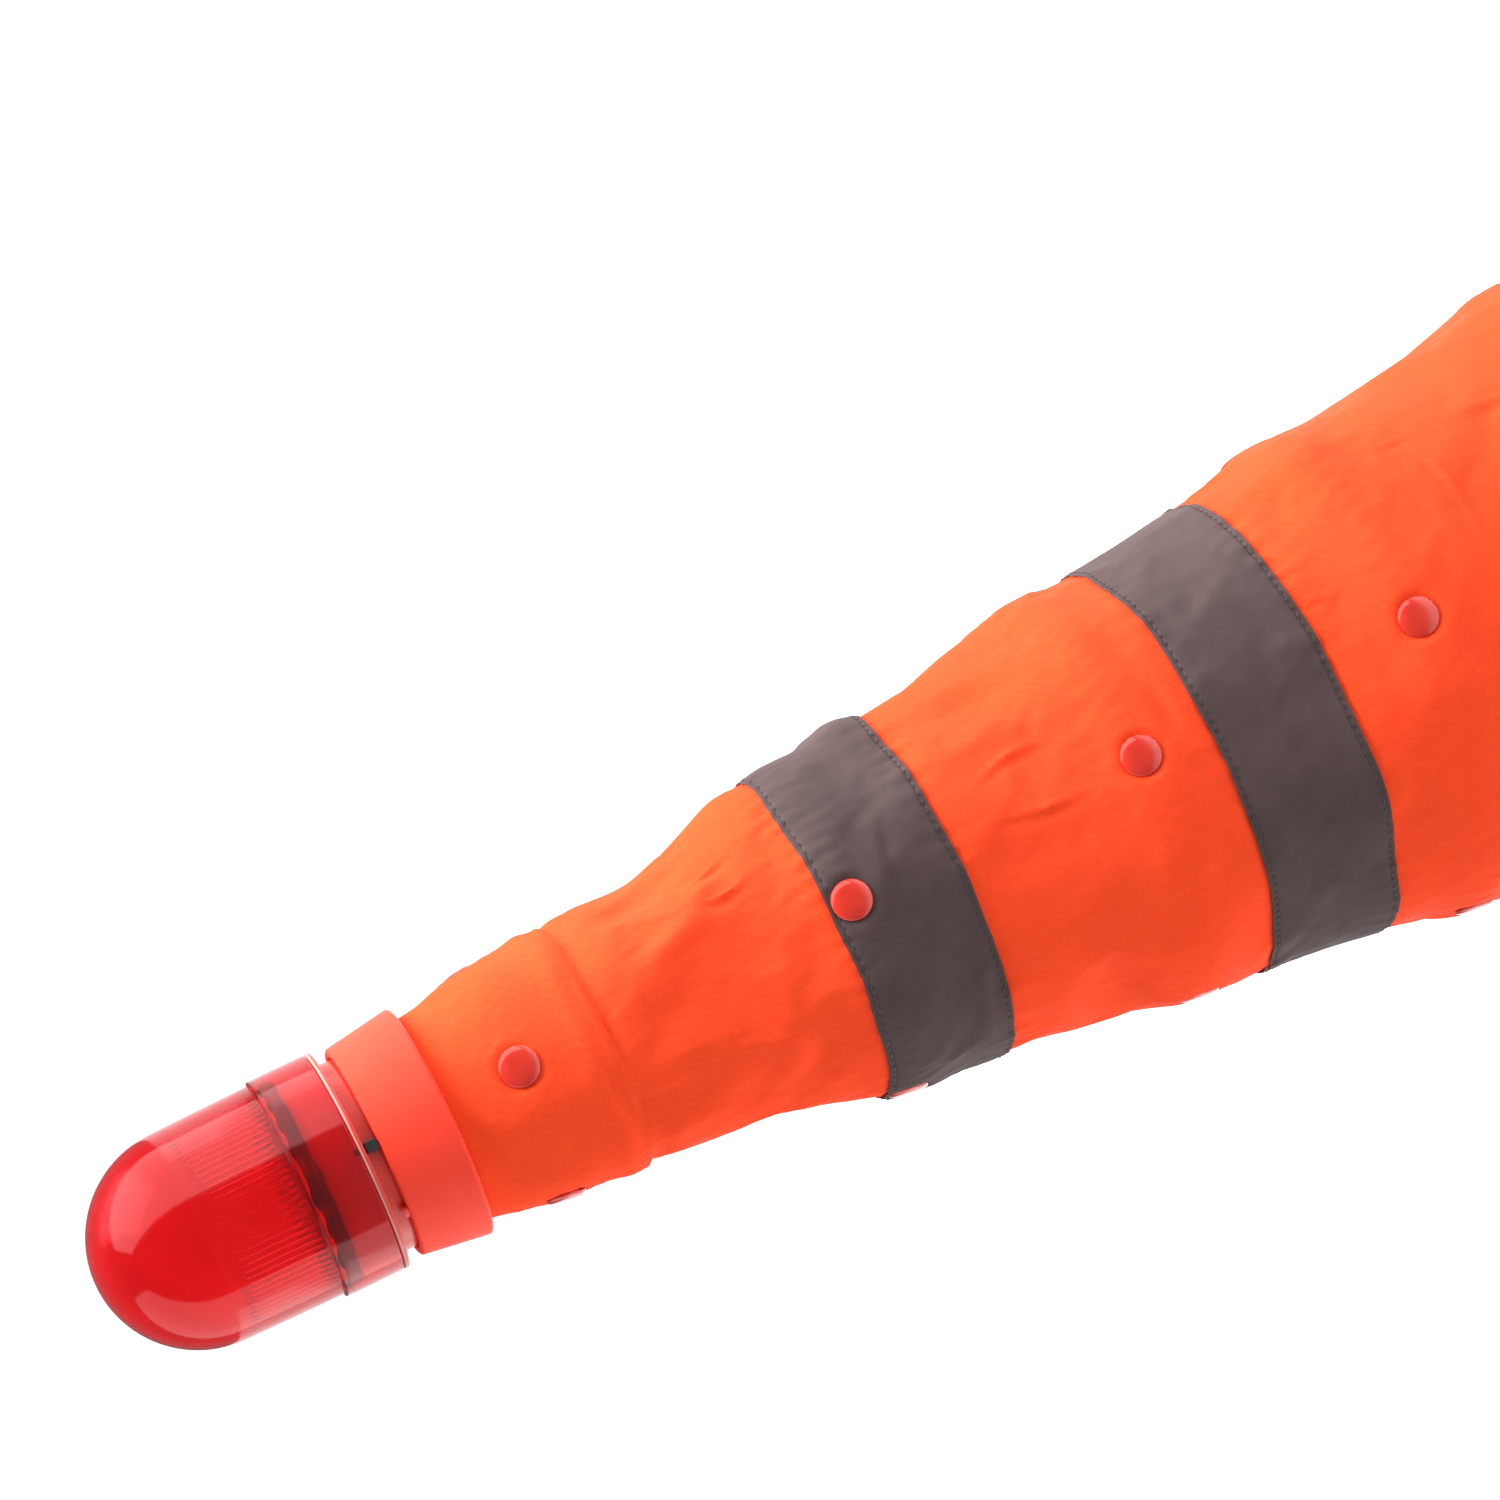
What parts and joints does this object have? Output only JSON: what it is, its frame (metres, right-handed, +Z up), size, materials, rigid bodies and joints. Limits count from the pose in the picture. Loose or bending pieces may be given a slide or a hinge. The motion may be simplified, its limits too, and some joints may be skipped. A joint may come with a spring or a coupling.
{
  "type": "collapsible traffic cone with lamp",
  "caption": "Pop-up fabric traffic cone with reflective bands, riveted hoops, a square base that it folds into, and a red lamp on its tip.",
  "frame": {"origin": "centre of the base, on the surface that the feet stand on", "axes": "+Z up along the cone's axis to the lamp; -Y is the side with the switch"},
  "size_m": [0.284, 0.284, 0.7],
  "materials": {
    "orange_cloth": "fluorescent orange satin-woven polyester",
    "grey_tape": "grey retro-reflective tape, sewn on",
    "orange_plastic": "satin moulded plastic",
    "coral_plastic": "glossy translucent rivet heads",
    "red_lens": "glossy translucent red lens with fine inner ribs",
    "pale_plastic": "translucent pale moulded plastic",
    "black_plastic": "textured moulded plastic",
    "white_nylon": "natural nylon",
    "black_rubber": "moulded rubber",
    "spring_steel": "drawn wire and plated screws",
    "cell_wrap": "plain printed sleeve with no lettering",
    "circuit_green": "circuit board lacquer",
    "led_clear": "clear moulded light body"
  },
  "bodies": {
    "base": {"base_tray": "black_plastic", "base_plate": "black_plastic", "base_foot_1": "black_rubber", "base_foot_2": "black_rubber", "base_foot_3": "black_rubber", "base_foot_4": "black_rubber", "base_screw_1": "spring_steel", "base_screw_2": "spring_steel", "base_screw_3": "spring_steel", "base_screw_4": "spring_steel", "cover_ring": "orange_plastic", "cone_cover": "orange_cloth", "band_upper": "grey_tape", "band_lower": "grey_tape", "lift_spring": "spring_steel"},
    "tip": {"collar": "orange_plastic", "sleeve": "orange_plastic", "cover_top": "orange_cloth", "sleeve_rivet_1": "coral_plastic", "sleeve_rivet_2": "coral_plastic", "sleeve_rivet_3": "coral_plastic", "sleeve_rivet_4": "coral_plastic"},
    "lamp": {"lamp_base": "pale_plastic", "battery_case": "black_plastic", "cell_1": "cell_wrap", "cell_2": "cell_wrap", "led_board": "circuit_green", "led_1": "led_clear", "led_2": "led_clear", "led_3": "led_clear"},
    "lens_cap": {"lens": "red_lens", "lens_gasket": "black_rubber"},
    "switch": {"switch_slider": "black_plastic"},
    "hoop_1_set": {"hoop_1": "white_nylon", "hoop_1_rivet_1": "coral_plastic", "hoop_1_rivet_2": "coral_plastic", "hoop_1_rivet_3": "coral_plastic", "hoop_1_rivet_4": "coral_plastic"},
    "hoop_2_set": {"hoop_2": "white_nylon", "hoop_2_rivet_1": "coral_plastic", "hoop_2_rivet_2": "coral_plastic", "hoop_2_rivet_3": "coral_plastic", "hoop_2_rivet_4": "coral_plastic"},
    "hoop_3_set": {"hoop_3": "white_nylon", "hoop_3_rivet_1": "coral_plastic", "hoop_3_rivet_2": "coral_plastic", "hoop_3_rivet_3": "coral_plastic", "hoop_3_rivet_4": "coral_plastic"},
    "hoop_4_set": {"hoop_4": "white_nylon", "hoop_4_rivet_1": "coral_plastic", "hoop_4_rivet_2": "coral_plastic", "hoop_4_rivet_3": "coral_plastic", "hoop_4_rivet_4": "coral_plastic"},
    "hoop_5_set": {"hoop_5": "white_nylon", "hoop_5_rivet_1": "coral_plastic", "hoop_5_rivet_2": "coral_plastic", "hoop_5_rivet_3": "coral_plastic", "hoop_5_rivet_4": "coral_plastic"}
  },
  "joints": [
    {"name": "cone_collapse", "type": "slide", "parent": "base", "child": "tip", "axis": [0, 0, -1], "range_m": [0, 0.51077], "stiffness_N_per_m": 20, "springref_m": -0.3, "deforming": ["cone_cover", "band_upper", "band_lower", "lift_spring"]},
    {"name": "hoop_1_drop", "type": "slide", "parent": "base", "child": "hoop_1_set", "axis": [0, 0, -1], "range_m": [0, 0.43699]},
    {"name": "hoop_2_drop", "type": "slide", "parent": "base", "child": "hoop_2_set", "axis": [0, 0, -1], "range_m": [0, 0.35393]},
    {"name": "hoop_3_drop", "type": "slide", "parent": "base", "child": "hoop_3_set", "axis": [0, 0, -1], "range_m": [0, 0.2736]},
    {"name": "hoop_4_drop", "type": "slide", "parent": "base", "child": "hoop_4_set", "axis": [0, 0, -1], "range_m": [0, 0.19139]},
    {"name": "hoop_5_drop", "type": "slide", "parent": "base", "child": "hoop_5_set", "axis": [0, 0, -1], "range_m": [0, 0.10918]},
    {"name": "lamp_lift", "type": "slide", "parent": "tip", "child": "lamp", "axis": [0, 0, 1], "range_m": [0, 0.03]},
    {"name": "lens_twist", "type": "hinge", "parent": "lamp", "child": "lens_cap", "pos_m": [0, 0, 0.66], "axis": [0, 0, 1], "range_deg": [0, 25]},
    {"name": "switch_slide", "type": "slide", "parent": "lamp", "child": "switch", "axis": [0.9925, 0.1219, 0], "range_m": [0, 0.002]}
  ],
  "couplings": [
    {"joint": "hoop_1_drop", "follows": "cone_collapse", "ratio": 0.85458},
    {"joint": "hoop_2_drop", "follows": "cone_collapse", "ratio": 0.69195},
    {"joint": "hoop_3_drop", "follows": "cone_collapse", "ratio": 0.53469},
    {"joint": "hoop_4_drop", "follows": "cone_collapse", "ratio": 0.37373},
    {"joint": "hoop_5_drop", "follows": "cone_collapse", "ratio": 0.21277}
  ]
}
